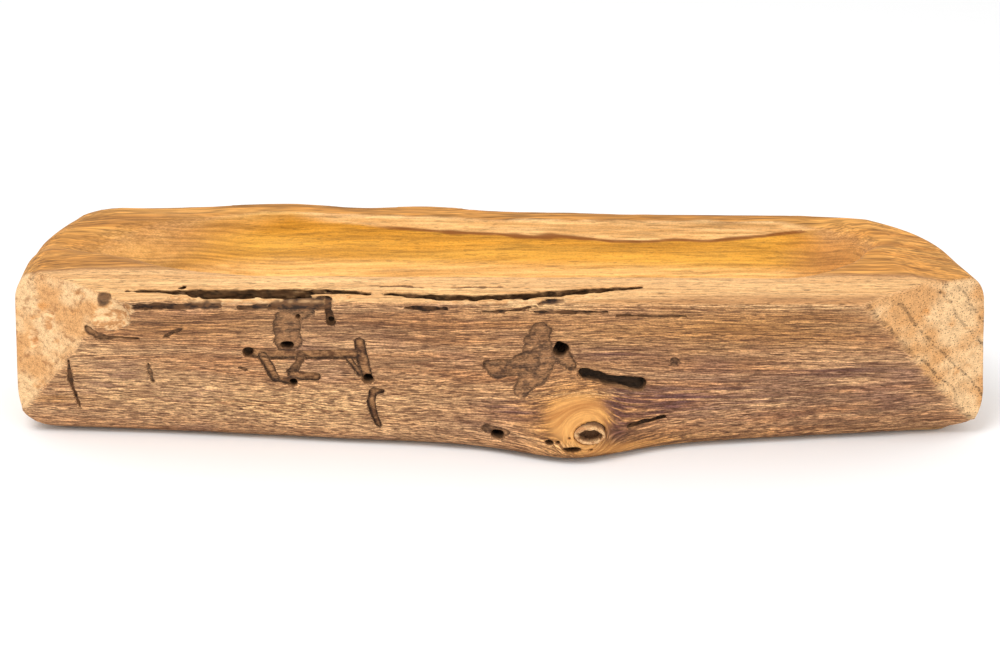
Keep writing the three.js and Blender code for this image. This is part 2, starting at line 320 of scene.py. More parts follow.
def axis_quads(inside, number, axis):
    """One quad round every grid edge along this axis that crosses the surface."""
    first = tuple(slice(0, -1) if a == axis else slice(1, -1) for a in range(3))
    second = tuple(slice(1, None) if a == axis else slice(1, -1) for a in range(3))
    crossed = np.argwhere(inside[first] != inside[second])
    crossed += [0 if a == axis else 1 for a in range(3)]
    u, v = [a for a in range(3) if a != axis]
    if axis == 1:
        u, v = v, u
    corners = []
    for du, dv in ((0, 0), (-1, 0), (-1, -1), (0, -1)):
        cell = crossed.copy()
        cell[:, u] += du
        cell[:, v] += dv
        corners.append(number[tuple(cell.T)])
    quads = np.stack(corners, 1)
    leaving = inside[tuple(crossed.T)]
    quads[~leaving] = quads[~leaving][:, ::-1]
    return quads


# ---------------- natural detail

# How high each kind of natural unevenness stands
RELIEF = Named(fibres=0.12, furrows=0.34, swell=0.75, gouges=0.22, waves=0.4, sanded=0.12)
RELIEF_REACH = 2.6  # only this close to the surface is the relief worked out
KNOT_DEPTH = 50  # the knot tapers away over this depth in the log


def grain_place(x, y, z):
    """Where a point lies in the wood's own grain, which parts round the knot.

    Gives how far along, across and into the log the point's fibres would run without the knot;
    inside the knot they turn into rings.
    """
    dx, dz = x - KNOT_X, z - KNOT_Z
    depth = np.maximum(y - front_face(x, z), 0)
    radius = KNOT_RADIUS * np.exp(-depth / KNOT_DEPTH)
    reach = np.hypot(dx, dz) + 0.01
    pull = np.minimum(radius / reach, 1) ** 2
    across = KNOT_Z + dz * (1 - pull) + np.minimum(reach - radius, 0)
    return KNOT_X + dx * (1 + pull), across, y + bulge(KNOT_BULGE, x, z)


def relief(x, y, z):
    """How far the finished surface stands proud of the block's plain field."""
    face = outside_faces(x, y, z)
    along, across, into = grain_place(x, y, z)
    natural = np.maximum(face.front, face.back)
    cut = np.maximum.reduce([face.band, face.land, face.left_facet, face.right_facet])
    weathered = smooth_step(-0.9, 0.1, natural - np.maximum(cut, face.hollow))
    carved = smooth_step(-1, 1.5, face.hollow - np.maximum(cut, natural))
    fibres = RELIEF.fibres * layered_noise(along / 14, across / 1.2, into / 1.2, 11)
    furrows = np.minimum(noise(along / 30, across / 3.2, into / 3.2, 21) + 0.25, 0)
    swell = RELIEF.swell * layered_noise(along / 45, across / 16, into / 16, 31)
    bark_side = fibres + RELIEF.furrows * furrows + swell
    gouges = noise(x / 13, y / 4.5, z / 4.5, 41) * RELIEF.gouges
    gouges = gouges + noise(x / 34, y / 9, z / 9, 42) * RELIEF.waves
    sanded = noise(x / 9, y / 9, z / 9, 51) * RELIEF.sanded
    above = smooth_step(-0.6, -2.5, face.base)
    return (bark_side * weathered + gouges * carved + sanded * (1 - weathered)) * above


# ---------------- beetle work, splits and scars

# Routes on the front face are made of (x, z, width) and on the band of (x, y, width), in
# millimetres. The number in front of each route is how deep it is cut.
GALLERIES = (  # beetle work under the bark
    (1.3, ((-73, 31.6, 3.4), (-68, 31, 3.4), (-57, 31, 3.3), (-42, 31.2, 3.4))),
    (1.4, ((-40.7, 35.5, 3), (-40, 29.5, 3.3), (-38.7, 23.2, 3.2))),
    (1, ((-44.2, 29.8, 1.8), (-40.8, 24.5, 1.8))),
    (1.4, ((-69, 30, 2.8), (-67.7, 27.2, 2.8), (-65.8, 22.8, 2.8))),
    (1.2, ((-65.8, 22.2, 2.2), (-61, 21.3, 2.4))),
    (1.3, ((-60.6, 23.4, 2.8), (-53.8, 23.2, 3))),
    (1.3, ((-34.4, 19.1, 1.6), (-37, 18.8, 2.2), (-37.7, 15.6, 2.6), (-37, 11, 2.1),
           (-35.6, 7.2, 1.7))),
)
SCARS = (  # wide shallow patches
    (1, ((-59, 46.6, 2.6), (-55, 46.4, 2.8), (-57.2, 44.5, 2.4))),
    (0.8, ((-61.2, 43.2, 7.4), (-61.5, 36, 8.2))),
    (1.5, ((-57.8, 30.3, 2.2), (-59.2, 27.1, 2.2), (-60.7, 24.8, 2.4))),
    (0.7, ((11.8, 40.2, 6), (10.8, 35.6, 8), (11, 30, 9.5))),
    (0.6, ((12.4, 31, 8.5), (9.4, 26.5, 8.5), (6.2, 20.6, 4.5))),
    (0.8, ((-3.4, 29, 3.6), (-1, 27.8, 6.4), (3, 28.2, 5.2), (8, 29.5, 7))),
    (1, ((17.8, 32, 5), (20.6, 28.9, 3.6))),
    (0.6, ((50.4, 28.6, 1.6), (50.8, 29.8, 1.6))),
    (0.7, ((-102.8, 26.9, 1), (-102, 20.1, 1.4))),
    (0.8, ((-97, 37, 0.9), (-94, 38.8, 1.4), (-92, 40, 0.9))),
    (0.9, ((-4, 8.8, 2.6), (1.4, 8.2, 2.2))),
    (0.6, ((-76, 26, 1), (-74.5, 25.6, 1))),
    (1.2, ((-119.4, 38.8, 2), (-116, 36.6, 2.2), (-113.4, 36.4, 1.4))),
)
STREAKS = (  # narrow dark splits
    (1.1, ((-107, 47.9, 1.2), (-100, 48.3, 2.2), (-90, 48.5, 2), (-80.6, 48.5, 1.4))),
    (0.8, ((-74.8, 48.1, 1.2), (-66.4, 48.2, 1.6))),
    (1.1, ((-65.5, 48.3, 1.8), (-60, 48.3, 3), (-50, 48.6, 3.2))),
    (1.7, ((-49.4, 49.4, 2), (-48.6, 42.8, 2.6))),
    (1, ((-27, 48.1, 1.1), (-20, 47.8, 1.8), (-15.6, 48, 1.3))),
    (1, ((-4.9, 47, 0.6), (0, 47.2, 0.7), (5.3, 47.7, 0.8), (12.6, 49.8, 0.5), (18.3, 50.2, 0.4))),
    (0.8, ((9.8, 46.9, 0.8), (20, 47.1, 1.3), (30.6, 47.1, 0.8))),
    (0.8, ((33.5, 45.8, 0.9), (43, 45.4, 1), (53.3, 45.5, 0.7))),
    (0.9, ((-117.3, 36.1, 0.8), (-112, 36.6, 1), (-104.2, 36.3, 0.6))),
    (0.9, ((-126.2, 27.6, 0.9), (-126.4, 20.5, 1.4), (-125.9, 17.6, 0.9), (-124.6, 10.1, 0.7))),
    (2.4, ((37.5, 10.4, 0.7), (41.8, 11.3, 1.3), (44.6, 11.2, 0.8), (48, 11.9, 1.2))),
)
SLOT = (4.2, ((24.2, 26.2, 3.3), (31.7, 24.1, 3.1), (40.4, 22.4, 4.2)))
BORES = (  # x, z, half width, half height, depth
    (17.6, 33.8, 2.5, 2.8, 8.5),
    (-61.8, 34, 2.1, 1.4, 6),
    (-73.2, 31.6, 1.6, 1.7, 3.4),
    (-38.5, 22.6, 1.7, 1.3, 6.5),
    (-60.5, 20.8, 1.4, 1.1, 6),
    (-58.1, 44.3, 0.7, 0.8, 3),
    (-48.6, 42.9, 1, 1.1, 4),
    (-0.6, 6.9, 2.1, 1.4, 7),
    (14.3, 7.2, 1.3, 0.9, 3),
    (16.9, 7.5, 0.7, 0.6, 2),
    (20.9, 5.3, 2.5, 1, 3),
    (26.4, 4.9, 0.7, 0.4, 1.6),
    (20.2, 8.9, 0.5, 0.4, 1.6),
)
SHAKES = (  # the long splits in the band
    (4, ((-107, -30.6, 1.3), (-102, -30.7, 1.9), (-97, -30.8, 1.6))),
    (5.5, ((-97.5, -30.9, 1.6), (-92.5, -31.5, 3.2), (-85, -31.8, 4.4), (-62, -31.8, 4.8),
           (-55, -31.6, 4), (-49.6, -31, 2.8), (-45, -31.4, 3), (-37.6, -32.6, 1.8))),
    (6, ((-32.6, -32.7, 1.6), (-27, -33.6, 2.8), (-18, -34.9, 3.6), (-6, -35.3, 3.9),
           (6, -34.2, 4.1), (16, -32.6, 4), (25, -30.7, 3.4), (34, -29.3, 2.6),
           (40.6, -28.4, 1.2))),
)
BROKEN_LIPS = (  # wood lost along the outer edge of each shake
    (1.3, ((-94, -34.6, 2.5), (-76, -35.6, 5), (-58, -35.6, 4.6), (-44, -34.5, 2.5))),
    (0.5, ((-20, -38, 3), (-4, -39, 4), (14, -37, 3.5), (26, -34.6, 2.5))),
)
BAND_SPECKS = (
    (0.7, ((-34.6, -27.6, 0.8), (-28, -27.3, 1.4), (-22.6, -28.2, 0.8))),
    (0.6, ((-13.5, -28.4, 0.6), (-6, -28.2, 1.3), (0.7, -28, 0.5))),
    (1.8, ((-91.6, -28.6, 1.6), (-91.2, -27.4, 1.6))),
)
PITS = (  # x, y, z, half width, half depth, half height, what is left inside
    (-113.4, -34.6, 43.6, 7.2, 4.2, 6.6, "pale"),
    (-110.4, -35.8, 46.4, 5.4, 3.4, 3, "pale"),
    (-114.4, -34.4, 50.2, 3, 3, 2.4, "pale"),
    # Its dark mark is partly painted shade on the back wall of the bore, over dark wood
    (-114.2, -32.4, 49.8, 2.5, 2.2, 4.4, "split"),
    (-132.6, -20.5, 38.5, 2.2, 1.6, 3.2, "pale"),
    (-137.3, -16.6, 31, 2, 1.4, 3, "pale"),
)
PIT_RAGGED = dict(pale=0.5, split=0.12)
FRONT_CUT_REACH = 10  # how far behind the front face its cuts may go
# The boxes that hold the cuts: in front of the log, above it, the lowest that cuts in the top
# go, and how much wider than the cuts they are
FOREMOST_Y, ABOVE_TOP, BAND_CUT_LOW, LIP_LOW = -48, HEIGHT + 3, HEIGHT - 12, HEIGHT - 6
ROUTE_REACH, BORE_REACH, PIT_REACH = 5, 6, 3
SEAT_RIM, PIT_RIM, BORE_RIM, LIP_RIM = 0.3, 0.7, 0.5, 0.5  # how soft the rims of cuts are
LIP_PALENESS = 0.4
CHANNEL_BLEND, BORE_BLEND, LIP_BLEND = 0.4, 1, 1.2  # how softly walls pass into floors
SEAT_GAP, BRANCH_GAP, END_GAP = 0.35, 0.12, 0.4  # room round the two fitted pieces
SEED_STEP = 5  # each cut's noise has its own seeds


def route_gap(p, q, route):
    """Distance in a plane to a route of (p, q, width) points, less half its width there."""
    nearest = np.float32(1e6)
    for (p0, q0, width0), (p1, q1, width1) in zip(route, route[1:]):
        dp, dq = p1 - p0, q1 - q0
        share = clip01(((p - p0) * dp + (q - q0) * dq) / (dp * dp + dq * dq))
        gap = np.hypot(p - p0 - share * dp, q - q0 - share * dq)
        nearest = np.minimum(nearest, gap - 0.5 * (width0 + (width1 - width0) * share))
    return nearest


def cut_channel(p, q, skin, route, depth, ragged, seed):
    """A flat-bottomed channel that follows the skin: its field, and how far inside its edge."""
    edge = route_gap(p, q, route) + ragged * layered_noise(p / 2.4, q / 1.7, skin / 1.8, seed)
    rough = 0.6 * ragged * noise(p / 1.5, q / 1.2, 0 * p + 3, seed + 2)
    return smooth_max(edge, -skin - depth + rough, CHANNEL_BLEND), edge


def cut_bore(p, q, skin, bore):
    """A blind hole across the plane of p and q, a little uneven and narrower further in."""
    place_p, place_q, half_p, half_q, depth = bore
    uneven = noise(p / 1.4, q / 1.4, skin / 2, 77) * 0.16
    width = 1 + 0.03 * np.minimum(skin, 0) + uneven
    edge = (np.hypot((p - place_p) / half_p, (q - place_q) / half_q) - width) * min(half_p, half_q)
    return smooth_max(edge, -skin - depth, BORE_BLEND), edge


def cut_pit(x, y, z, place, half, ragged):
    parts = [(value - p) / h for value, p, h in zip((x, y, z), place, half)]
    reach = np.sqrt(sum(part * part for part in parts)) - 1
    edge = reach * half.min() + ragged * layered_noise(x / 2.6, y / 2.6, z / 1.6, 88)
    return edge, edge


def cut_lip(x, y, z, route, drop, seed):
    """Wood broken off the top along a route, down to a rough floor."""
    edge = route_gap(x, y, route) + 0.3 * layered_noise(x / 5, y / 2.5, z / 2.5, seed)
    floor = band_height(x, y) - drop + 0.2 * layered_noise(x / 7, y / 1.4, 0 * x, seed + 2)
    return smooth_max(edge, floor - z, LIP_BLEND), edge


def cut_socket_seat(x, y, z, skin):
    reach = np.hypot(x - SOCKET.x, y - SOCKET.y)
    barrel = np.maximum(reach - SOCKET.radius - SEAT_GAP, SOCKET.low - SEAT_GAP - z)
    flange = np.maximum(reach - SOCKET.flange - SEAT_GAP, SOCKET.shelf - 0.1 - z)
    edge = np.minimum(barrel, flange)
    return edge, edge


def branch_place(x, y, z):
    """A point's distance along the dead branch from its outer end, and its offsets across it."""
    turn = BRANCH.rise
    dy, dz = y - BRANCH.outer_y, z - BRANCH.z
    along = dy * math.cos(turn) + dz * math.sin(turn)
    across = dz * math.cos(turn) - dy * math.sin(turn)
    return along, x - BRANCH.x, across


def branch_radius(along):
    return BRANCH.radius * (1 - (1 - BRANCH.taper) * along / BRANCH.length)


def branch_reach(side, across):
    """Distance from the branch's axis, stretched so that its flattened section is round."""
    return np.hypot(side, across / BRANCH.flat)


def cut_branch_seat(x, y, z, skin):
    along, side, across = branch_place(x, y, z)
    sides = branch_reach(side, across) - branch_radius(along) - BRANCH_GAP
    edge = np.maximum(sides, along - BRANCH.length - END_GAP)
    return edge, edge


def near_front(cut, x, y, z):
    """A cut's field and edge, kept from opening into the hollow behind the front face."""
    hole, edge = cut
    return np.maximum(hole, y - front_face(x, z) - FRONT_CUT_REACH), edge


def lean_back(y, z):
    """The y that a split opens at on the band, followed down along the log's growth rings."""
    return y - (HEIGHT - z) * math.tan(FRONT_LEAN)


def make_cut(low, high, shape, soft, mark=None, strength=1):
    """A cut: the box round it, its field and edge at a place, its soft rim and its colour."""
    return Named(low=low, high=high, shape=shape, soft=soft, mark=mark, strength=strength)


def route_box(route, reach):
    points = np.array(route)
    return points[:, :2].min(0) - reach, points[:, :2].max(0) + reach


def front_cut(depth, route, ragged, soft, mark, seed):
    (left, bottom), (right, top) = route_box(route, ROUTE_REACH)

    def shape(x, y, z, skin):
        return near_front(cut_channel(x, z, skin, route, depth, ragged, seed), x, y, z)

    return make_cut((left, FOREMOST_Y, bottom), (right, 0, top), shape, soft, mark)


def band_cut(depth, route, ragged, soft, mark, seed):
    (left, front), (right, back) = route_box(route, ROUTE_REACH)

    def shape(x, y, z, skin):
        return cut_channel(x, lean_back(y, z), skin, route, depth, ragged, seed)

    low, high = (left, front - 2, BAND_CUT_LOW), (right, back + 8, ABOVE_TOP)
    return make_cut(low, high, shape, soft, mark)


def lip_cut(drop, route, seed):
    (left, front), (right, back) = route_box(route, ROUTE_REACH + 1)

    def shape(x, y, z, skin):
        return cut_lip(x, y, z, route, drop, seed)

    low, high = (left, front, LIP_LOW), (right, back, ABOVE_TOP)
    return make_cut(low, high, shape, LIP_RIM, "pale", LIP_PALENESS)


def bore_cut(bore):
    def shape(x, y, z, skin):
        return near_front(cut_bore(x, z, skin, bore), x, y, z)

    low = (bore[0] - BORE_REACH, FOREMOST_Y, bore[1] - BORE_REACH)
    high = (bore[0] + BORE_REACH, 0, bore[1] + BORE_REACH)
    return make_cut(low, high, shape, BORE_RIM, "hole")


def pit_cut(pit):
    place, half, mark = np.array(pit[:3]), np.array(pit[3:6]), pit[6]

    def shape(x, y, z, skin):
        return cut_pit(x, y, z, place, half, PIT_RAGGED[mark])

    reach = half + PIT_REACH
    return make_cut(place - reach, place + reach, shape, PIT_RIM, mark)


def seat_cuts():
    """Seats for the stick socket in the hollow's floor and for the dead branch in the knot."""
    low = (SOCKET.x - 9, SOCKET.y - 9, SOCKET.low - 2)
    high = (SOCKET.x + 9, SOCKET.y + 9, SOCKET.high + 4)
    barrel = make_cut(low, high, cut_socket_seat, SEAT_RIM)
    low = (BRANCH.x - 8, BRANCH.outer_y - 3, BRANCH.z - 8)
    high = (BRANCH.x + 8, BRANCH.inner_y + 3, BRANCH.z + 16)
    return [barrel, make_cut(low, high, cut_branch_seat, SEAT_RIM)]


def all_cuts():
    """Every cut, in the order in which they are taken out of the log."""
    cuts = seat_cuts() + [pit_cut(pit) for pit in PITS]
    for number, (depth, route) in enumerate(BROKEN_LIPS):
        cuts.append(lip_cut(depth, route, 800 + SEED_STEP * number))
    for kind, routes, ragged, soft, mark, seed in (
        (front_cut, SCARS, 0.5, 0.4, "scar", 300),
        (front_cut, GALLERIES, 0.24, 0.2, "gallery", 100),
        (front_cut, STREAKS, 0.35, 0.4, "split", 400),
        (band_cut, SHAKES, 0.5, 0.3, "split", 500),
        (band_cut, BAND_SPECKS, 0.5, 0.4, "scar", 600),
        (front_cut, [SLOT], 0.4, 0.5, "hole", 700),
    ):
        for number, (depth, route) in enumerate(routes):
            cuts.append(kind(depth, route, ragged, soft, mark, seed + SEED_STEP * number))
    return cuts + [bore_cut(bore) for bore in BORES]


def carve(field, axes, cuts):
    """Takes the cuts out of the field, and returns the field as it was before."""
    skin = field.copy()
    for cut in cuts:
        part = tuple(
            slice(int(np.searchsorted(axis, low)), int(np.searchsorted(axis, high)) + 1)
            for axis, low, high in zip(axes, cut.low, cut.high)
        )
        place = np.meshgrid(*(axis[p] for axis, p in zip(axes, part)), indexing="ij")
        hole, _ = cut.shape(*place, skin[part])
        field[part] = smooth_max(field[part], -hole, cut.soft)
    return skin


# ---------------- sculpting

GRID_MARGIN = 4  # empty room round the log


def build_grid():
    low, high = np.array(BODY_LOW) - GRID_MARGIN, np.array(BODY_HIGH) + GRID_MARGIN
    return [np.arange(a, b, GRID, dtype=np.float32) for a, b in zip(low, high)]


def sculpt(cuts):
    """The log's vertices and quads, and how far each vertex lies under the uncut skin."""
    axes = build_grid()
    grid = np.meshgrid(*axes, indexing="ij", sparse=True)
    field = block_field(*grid).astype(np.float32)
    near = np.nonzero(np.abs(field) < RELIEF_REACH)
    place = [axis[index] for axis, index in zip(axes, near)]
    field[near] -= relief(*place)
    skin = carve(field, axes, cuts)
    origin = np.array([axis[0] for axis in axes])
    points, quads = surface_nets(field, origin, GRID)
    return points, quads, -sample(skin, (points - origin) / GRID)


def sample(field, place):
    """The field between its grid points, by straight-line mixing."""
    low = np.floor(place).astype(np.int32)
    part = place - low
    total = np.zeros(len(place))
    for corner in CORNERS:
        weight = np.ones(len(place))
        for axis, side in enumerate(corner):
            weight *= part[:, axis] if side else 1 - part[:, axis]
        total += weight * field[tuple((low + corner).T)]
    return total


def place_object(name, data):
    made = bpy.data.objects.new(name, data)
    bpy.context.scene.collection.objects.link(made)
    return made


def mesh_object(name, points, quads):
    mesh = bpy.data.meshes.new(name)
    mesh.vertices.add(len(points))
    mesh.vertices.foreach_set("co", (points * MM).astype(np.float32).ravel())
    mesh.loops.add(quads.size)
    mesh.loops.foreach_set("vertex_index", quads.astype(np.int32).ravel())
    mesh.polygons.add(len(quads))
    mesh.polygons.foreach_set("loop_start", np.arange(0, quads.size, 4, dtype=np.int32))
    mesh.polygons.foreach_set("use_smooth", np.ones(len(quads), bool))
    mesh.update(calc_edges=True)
    return place_object(name, mesh)


# ---------------- what each vertex is made of, and where shade is painted on it

# Soft patches of colour and painted shade on the front face: x, z, half width, half height,
# strength
WARM = (
    (22.5, 14, 9, 6.5, 1.9),
    (38, 4, 12, 2.5, 0.8),
    (-132, 13.5, 6, 1.2, 0.9),
    (20, 42, 40, 6, 0.35),
    (75, 41, 30, 6, 0.8),
    (-88, 42, 20, 4, 0.6),
    (70, 3, 40, 2, 0.5),
)
COOL = (
    (2, 15.6, 6, 1.8, 1.3),
    (32, 32.4, 7, 1.6, 0.9),
    (34.6, 14.5, 2.4, 4.5, 1.8),
    (42, 18, 7, 1.6, 1.2),
    (44, 13.5, 7, 1.2, 1.1),
    (50, 17, 14, 3.5, 0.6),
    (-8, 9, 14, 3.5, 0.35),
    (85, 18, 35, 9, 0.55),
    (99, 26, 12, 2.5, 0.5),
    (-133, 15.6, 3, 1.2, 0.8),
    (-105, 8, 30, 4, 0.35),
    (-50, 39, 14, 3, 0.35),
)
DARK = (
    (-19, 27, 14, 6, 0.5),
    (-8, 12.5, 15, 5, 0.35),
    (-88, 45.6, 13, 2.2, 0.5),
    (-1, 28.4, 4.6, 2.6, 1),
    (12, 39, 3.6, 2.6, 0.8),
    (7.5, 23, 4, 4, 0.6),
    (25, 33, 12, 5, 0.3),
    (38, 13, 5, 5, 0.7),
    (-12, 40, 22, 6, 0.25),
    (-60, 39.5, 30, 4.5, 0.2),
    (-88, 42.5, 16, 4, 0.45),
    (75, 42, 26, 4, 0.35),
    (-38, 43, 14, 4, 0.3),
    (70, 30, 24, 4, 0.3),
    (112, 16, 24, 8, 0.5),
    # Painted shade: these two darken the bottom edge where the log turns under
    (92, 2, 44, 3.2, 0.9),
    (-60, 1, 70, 1.4, 0.7),
    (-100, 38, 12, 4, 0.3),
    (45, 13, 10, 4, 0.5),
)
PALE = (
    (-60, 13, 24, 5, 1.1),
    (-112, 18, 18, 8, 0.7),
    (6, 49.3, 14, 1.7, 1.1),
    (-100, 50, 12, 1, 0.7),
    (88, 49.6, 34, 1.6, 0.9),
    (21, 6.4, 7, 1.6, 0.6),
    (-120, 33, 6, 3, 0.4),
    (24, 20.6, 10, 0.6, 0.9),
    (-52, 26.5, 7, 2, 0.4),
    (-61.5, 39.5, 3, 3.5, 0.5),
    (-63.5, 26.5, 2, 2, 0.6),
    (-14, 20, 16, 3, 0.3),
)
# Growth rings by depth in millimetres under the front and the back of the log, with how dark
# each is drawn
FRONT_RINGS = ((1.3, 0.9), (6, 1), (14.2, 1), (17.8, 0.8), (23, 0.5), (28, 0.5))
BACK_RINGS = ((7.3, 1), (12.6, 0.35), (17.5, 0.25), (22, 0.35), (28, 0.3))
PITH_Y, PITH_Z = 2, 2  # the heart that the fainter growth layers lie round
LEFT_RING_STRENGTH = 0.3  # the left facet is sanded until its rings hardly show
WALL_RING = (  # x and height where the first ring under the back crosses the hollow's back wall
    (-104, 38), (-94.5, 44.2), (-87.6, 48.3), (-77, 49.3), (-64.6, 51.6),
    (-54, 49.5), (-32.4, 48.3), (-15, 47.4), (17, 46.5), (34, 45.8),
    (51, 46), (65, 46.1), (81, 47.6), (97, 51),
)
FAR_FROM_RING = 9  # farther than any ring is drawn
SURFACE_BLEND = 0.3  # how far one kind of surface passes into the next
PAINTED_RIM_SHADE = dict(gallery=1, scar=0.7)  # how strongly shade is painted on the rims of these cuts


def patches(x, z, blobs):
    total = 0
    for place_x, place_z, wide, tall, strength in blobs:
        total = total + strength * bell(x - place_x, wide) * bell(z - place_z, tall)
    return total


def nearest_ring(depths, ring_sets):
    """Distance to the nearest ring under the front or the back, and how dark it is drawn."""
    gap, strength = np.full(len(depths[0]), FAR_FROM_RING), np.zeros(len(depths[0]))
    for depth, rings in zip(depths, ring_sets):
        for place, dark in rings:
            nearer = np.abs(depth - place) < gap
            gap = np.where(nearer, np.abs(depth - place), gap)
            strength = np.where(nearer, dark, strength)
    return gap, strength


def ring_on_wall(x, z, wobble):
    """The same as growth_rings for the first ring under the back, on the hollow's back wall."""
    level = 0 * x  # the noise on this ring runs along X only
    above = z - np.interp(x, *zip(*WALL_RING)) - 0.35 * noise(x / 9, level, level, 63)
    gap = np.abs(above) * (1 + 0.5 * noise(x / 5, level, level, 64))
    left = smooth_step(-46, -80, x)  # here the ring fades into a soft change of colour
    soft = 0.5 + 4 * left
    sap = smooth_step(-soft, soft, above + 2 * wobble * left) * (1 - 0.6 * left)
    return gap, smooth_step(-44, -30, x) * smooth_step(104, 88, x), sap


def growth_rings(x, y, z):
    """Distance to the nearest growth ring, how dark it is drawn, and the share of sapwood."""
    face = outside_faces(x, y, z)
    wobble = 0.9 * layered_noise(x / 34, y / 9, z / 9, 61)
    depths = wobble - face.front, 0.4 * wobble - face.back
    gap, strength = nearest_ring(depths, (FRONT_RINGS, BACK_RINGS))
    strength = strength * np.where((x < -90) & (y < 0), LEFT_RING_STRENGTH, 1)
    on_wall = (face.hollow > face.land - 1.5) & (y > HOLLOW_MIDDLE)
    wall_gap, wall_strength, sap = ring_on_wall(x, z, wobble)
    gap = np.where(on_wall, wall_gap, gap)
    strength = np.where(on_wall, wall_strength, strength)
    on_top = (face.hollow < -0.6) & (z > HEIGHT - 4) & (face.front < -2)
    gap = np.where(on_top, 0.6 * np.abs(behind_band(x, y) - 0.9), gap)
    at_ends = np.maximum(smooth_step(-98, -108, x), smooth_step(88, 98, x))
    return gap, np.where(on_top, 0.95 * at_ends, strength), np.where(on_wall, sap, 0)


def behind_band(x, y):
    """How far a place on top is behind the line where the planed band ends."""
    return y - BAND_TINT_Y - BAND_TINT_SKEW * x


def shares_of_faces(x, y, z):
    """How much of each kind of surface a vertex is on; the kinds add up to one."""
    face = outside_faces(x, y, z)
    ragged = 0.55 * layered_noise(x / 9, y / 1.4, z / 1.4, 801)
    top = np.maximum(face.band, face.land)
    behind = behind_band(x, y)
    facets = np.maximum(face.left_facet, face.right_facet)
    kinds = dict(
        weathered=np.maximum(face.front + ragged, face.back),
        planed=top - 0.3 * np.maximum(behind, 0),
        hollow=face.hollow,
        land=top - 0.3 * np.maximum(-behind, 0),
        end=np.maximum(facets, np.maximum(face.left_end, face.right_end) - 2),
        base=face.base,
    )
    nearest = np.maximum.reduce(list(kinds.values()))
    shares = {name: np.exp((value - nearest) / SURFACE_BLEND) for name, value in kinds.items()}
    total = sum(shares.values())
    share = Named(**{name: part / total for name, part in shares.items()})
    both = share.hollow + share.land
    soft = SURFACE_BLEND + 2.6 * smooth_step(-84, -104, x)
    soft = soft + 1.2 * smooth_step(90, 106, x) * (y > 0)
    outside = (face.land - face.hollow + 1.5 * ragged) / soft
    lean = 1 / (1 + np.exp(np.clip(outside, -30, 30)))
    share.hollow, share.land = both * lean, both * (1 - lean)
    return share


def marks_of_cuts(points, under, cuts):
    """How much of each kind of cut a vertex is in, and how much shade is painted on it near a cut's
    edge.
    """
    marks = {name: np.zeros(len(points)) for name in ("gallery", "scar", "split", "hole", "pale")}
    rim = np.zeros(len(points))
    for cut in cuts:
        mark = cut.mark
        if mark is None:
            continue
        chosen = np.all((points > np.array(cut.low)) & (points < np.array(cut.high)), 1)
        chosen = np.nonzero(chosen)[0]
        hole, edge = cut.shape(*points[chosen].T, -under[chosen])
        inside = smooth_step(0.5, 0, hole) * smooth_step(0.35, -0.1, edge) * cut.strength
        marks[mark][chosen] = np.maximum(marks[mark][chosen], inside)
        # Painted shade on the rims of beetle work and scars, strongest just inside the edge
        near = inside * bell(edge + 0.15, 0.4) * smooth_step(0, 0.5, under[chosen])
        rim[chosen] = np.maximum(rim[chosen], near * PAINTED_RIM_SHADE.get(mark, 0))
    return Named(**marks), rim


def put_vectors(mesh, name, *columns):
    layer = mesh.attributes.new(name, "FLOAT_VECTOR", "POINT")
    layer.data.foreach_set("vector", np.stack(columns, 1).astype(np.float32).ravel())


def describe(log, points, under, cuts):
    """Writes what each vertex is made of, and where shade is painted on it, to the mesh, for the
    material to read.
    """
    x, y, z = points.T
    share = shares_of_faces(x, y, z)
    mark, rim = marks_of_cuts(points, under, cuts)
    on_front = share.weathered * (y < 0)
    warm, cool, dark, pale = (patches(x, z, kind) * on_front for kind in (WARM, COOL, DARK, PALE))
    layer = np.hypot(y - PITH_Y, z - PITH_Z) + 0.9 * layered_noise(x / 24, y / 9, z / 9, 65)
    browner = 0.6 * smooth_step(-72, -100, x) + smooth_step(82, 102, x)
    edge_depth = (y - front_face(x, z)) / (4 + 6 * smooth_step(20, 70, x))
    stain = smooth_step(1, 0, edge_depth) * (0.35 + 0.65 * smooth_step(0, 50, x))
    for name, columns in dict(
        grain=grain_place(x, y, z),
        cut_faces=(share.planed, share.hollow, share.land),
        other_faces=(share.weathered, share.end, share.base),
        beetle_marks=(mark.gallery, mark.scar, mark.pale),
        openings=(mark.split, mark.hole, np.maximum(under, 0)),
        tints_and_shade=(warm, cool, dark),
        rings=growth_rings(x, y, z),
        layers=(layer, x, y),
        places=(pale, rim, z),
        ends=(browner, share.end * (x < 0), stain * share.planed),
    ).items():
        put_vectors(log.data, name, *columns)


# ---------------- materials


def from_screen(red, green, blue):
    """A colour given as it looks on a screen, 0 to 255, as the linear values a shader takes."""
    parts = (value / 255 for value in (red, green, blue))
    linear = ((p / 12.92 if p <= 0.04045 else ((p + 0.055) / 1.055) ** 2.4) for p in parts)
    return (*linear, 1)


